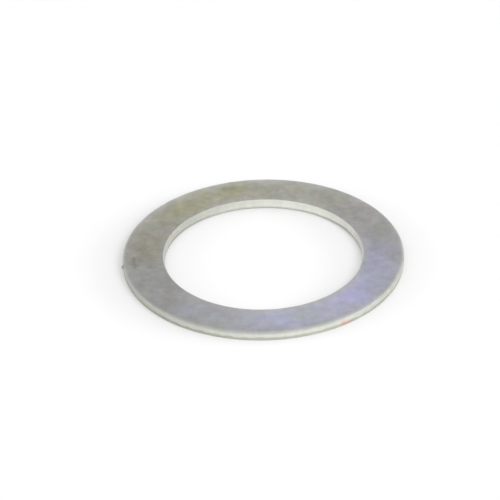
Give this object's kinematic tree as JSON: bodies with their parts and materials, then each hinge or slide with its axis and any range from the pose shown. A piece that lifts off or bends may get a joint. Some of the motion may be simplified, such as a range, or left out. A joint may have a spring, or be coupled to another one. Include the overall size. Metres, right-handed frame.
{
  "type": "flat ring gasket",
  "caption": "Flat round metal ring gasket with a plain bore, stamped from plated sheet steel; seals a screwed plug or fitting against its seat.",
  "frame": {"origin": "middle of the bore on the underside, where the ring rests", "axes": "+Z along the bore, up from the seat; X and Y are equal because the ring is round"},
  "size_m": [0.0285, 0.0284, 0.001],
  "materials": {
    "plated_steel": "satin zinc plate with a thin passivate film, brighter on the sheared edges"
  },
  "bodies": {
    "root": {"gasket_ring": "plated_steel"}
  },
  "joints": []
}
